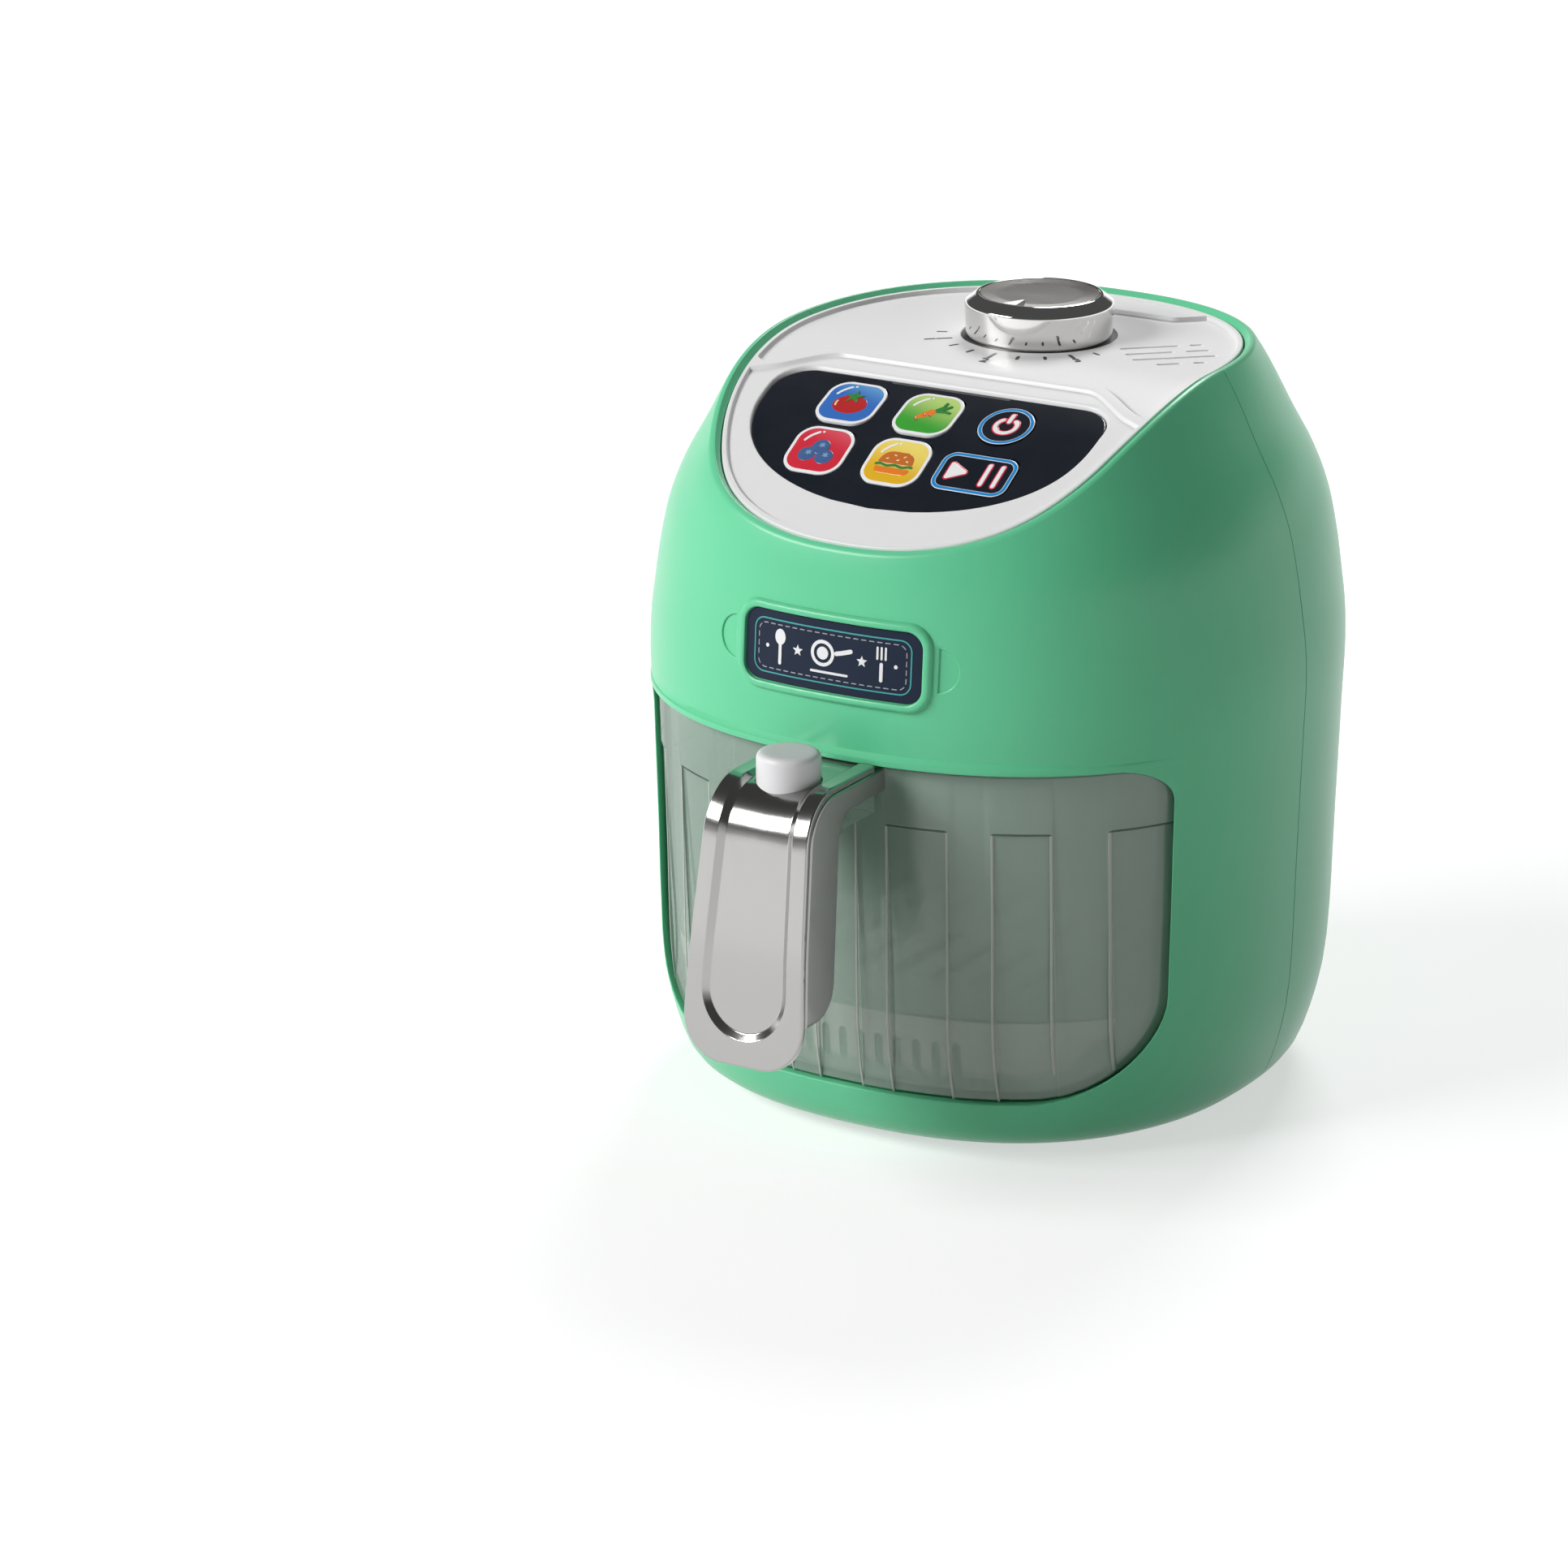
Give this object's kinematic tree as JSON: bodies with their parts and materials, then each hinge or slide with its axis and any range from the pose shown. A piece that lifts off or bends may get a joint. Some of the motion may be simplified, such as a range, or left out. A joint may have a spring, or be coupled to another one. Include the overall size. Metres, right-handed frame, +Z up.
{
  "type": "toy air fryer",
  "caption": "Toy air fryer: rounded body, sloping screen with push buttons, turning dial, and a clear pull-out basket with a bowed handle.",
  "frame": {"origin": "centre of the outline box, handle included, at the level of the feet's undersides", "axes": "+Z up, the basket's handle and the screen face -Y, +X to the right as seen from behind"},
  "size_m": [0.17, 0.212, 0.199],
  "materials": {
    "green_plastic": "satin gloss",
    "white_plastic": "satin",
    "navy_gloss": "gloss",
    "smoky_clear": "clear gloss",
    "chrome_plate": "polished",
    "silver_plastic": "satin metallic paint",
    "tray_plastic": "satin",
    "rubber_pad": "matte",
    "black_plastic": "matte",
    "steel": "plain",
    "board": "satin",
    "amber_clear": "clear gloss",
    "blue_plastic": "gloss",
    "lime_plastic": "gloss",
    "red_plastic": "gloss",
    "yellow_plastic": "gloss",
    "cell_jacket": "gloss"
  },
  "bodies": {
    "housing": {"base_plate": "green_plastic", "base_screw_1": "steel", "base_screw_2": "steel", "base_screw_3": "steel", "base_screw_4": "steel", "battery_1": "cell_jacket", "battery_2": "cell_jacket", "battery_3": "cell_jacket", "battery_box": "black_plastic", "battery_contacts_high": "steel", "battery_contacts_low": "steel", "battery_wire": "red_plastic", "button_board": "board", "button_mat": "rubber_pad", "button_wire": "black_plastic", "chamber_liner": "green_plastic", "foot_front_left": "rubber_pad", "foot_front_right": "rubber_pad", "foot_rear_left": "rubber_pad", "foot_rear_right": "rubber_pad", "front_shell": "green_plastic", "light_pipe": "amber_clear", "main_board": "board", "nameplate": "navy_gloss", "nameplate_frame": "green_plastic", "rear_shell": "green_plastic", "rotary_switch": "silver_plastic", "screen_cover": "navy_gloss", "shell_screw_left": "steel", "shell_screw_right": "steel", "speaker": "black_plastic", "speaker_magnet": "steel", "speaker_wire": "black_plastic", "top_panel": "white_plastic"},
    "basket": {"basket": "smoky_clear", "handle_body": "silver_plastic", "handle_front_plate": "chrome_plate", "handle_inlay": "smoky_clear", "handle_screw_left": "steel", "handle_screw_right": "steel", "release_spring": "steel"},
    "tray": {"crisper_tray": "tray_plastic"},
    "release": {"release_button": "white_plastic", "latch_bar": "silver_plastic"},
    "dial": {"dial_knob": "chrome_plate", "dial_disc": "silver_plastic", "dial_shaft": "steel"},
    "battery_cover": {"battery_door": "green_plastic", "battery_door_screw": "steel"},
    "blue_key": {"blue_button": "blue_plastic"},
    "green_key": {"green_button": "lime_plastic"},
    "power_key": {"power_button": "navy_gloss"},
    "red_key": {"red_button": "red_plastic"},
    "yellow_key": {"yellow_button": "yellow_plastic"},
    "play_pause_key": {"play_pause_button": "navy_gloss"}
  },
  "joints": [
    {"name": "basket_slide", "type": "slide", "parent": "housing", "child": "basket", "axis": [0, -1, 0], "range_m": [0, 0.11]},
    {"name": "tray_lift", "type": "slide", "parent": "basket", "child": "tray", "axis": [0, 0, 1], "range_m": [0, 0.05]},
    {"name": "release_press", "type": "slide", "parent": "basket", "child": "release", "axis": [0, 0, -1], "range_m": [0, 0.0015], "stiffness_N_per_m": 300, "springref_m": -0.002, "deforming": ["release_spring"]},
    {"name": "dial_turn", "type": "hinge", "parent": "housing", "child": "dial", "pos_m": [0, 0.0405, 0.1895], "axis": [0, 0, 1], "continuous": true},
    {"name": "blue_press", "type": "slide", "parent": "housing", "child": "blue_key", "axis": [0, 0.3989, -0.917], "range_m": [0, 0.001], "stiffness_N_per_m": 250, "springref_m": -0.001},
    {"name": "green_press", "type": "slide", "parent": "housing", "child": "green_key", "axis": [0, 0.3989, -0.917], "range_m": [0, 0.001], "stiffness_N_per_m": 250, "springref_m": -0.001},
    {"name": "power_press", "type": "slide", "parent": "housing", "child": "power_key", "axis": [0, 0.3989, -0.917], "range_m": [0, 0.001], "stiffness_N_per_m": 250, "springref_m": -0.001},
    {"name": "red_press", "type": "slide", "parent": "housing", "child": "red_key", "axis": [0, 0.5075, -0.8616], "range_m": [0, 0.001], "stiffness_N_per_m": 250, "springref_m": -0.001},
    {"name": "yellow_press", "type": "slide", "parent": "housing", "child": "yellow_key", "axis": [0, 0.5075, -0.8616], "range_m": [0, 0.001], "stiffness_N_per_m": 250, "springref_m": -0.001},
    {"name": "play_pause_press", "type": "slide", "parent": "housing", "child": "play_pause_key", "axis": [0, 0.5075, -0.8616], "range_m": [0, 0.001], "stiffness_N_per_m": 250, "springref_m": -0.001},
    {"name": "battery_cover_lift_off", "type": "slide", "parent": "housing", "child": "battery_cover", "axis": [0, 1, 0], "range_m": [0, 0.02]}
  ]
}
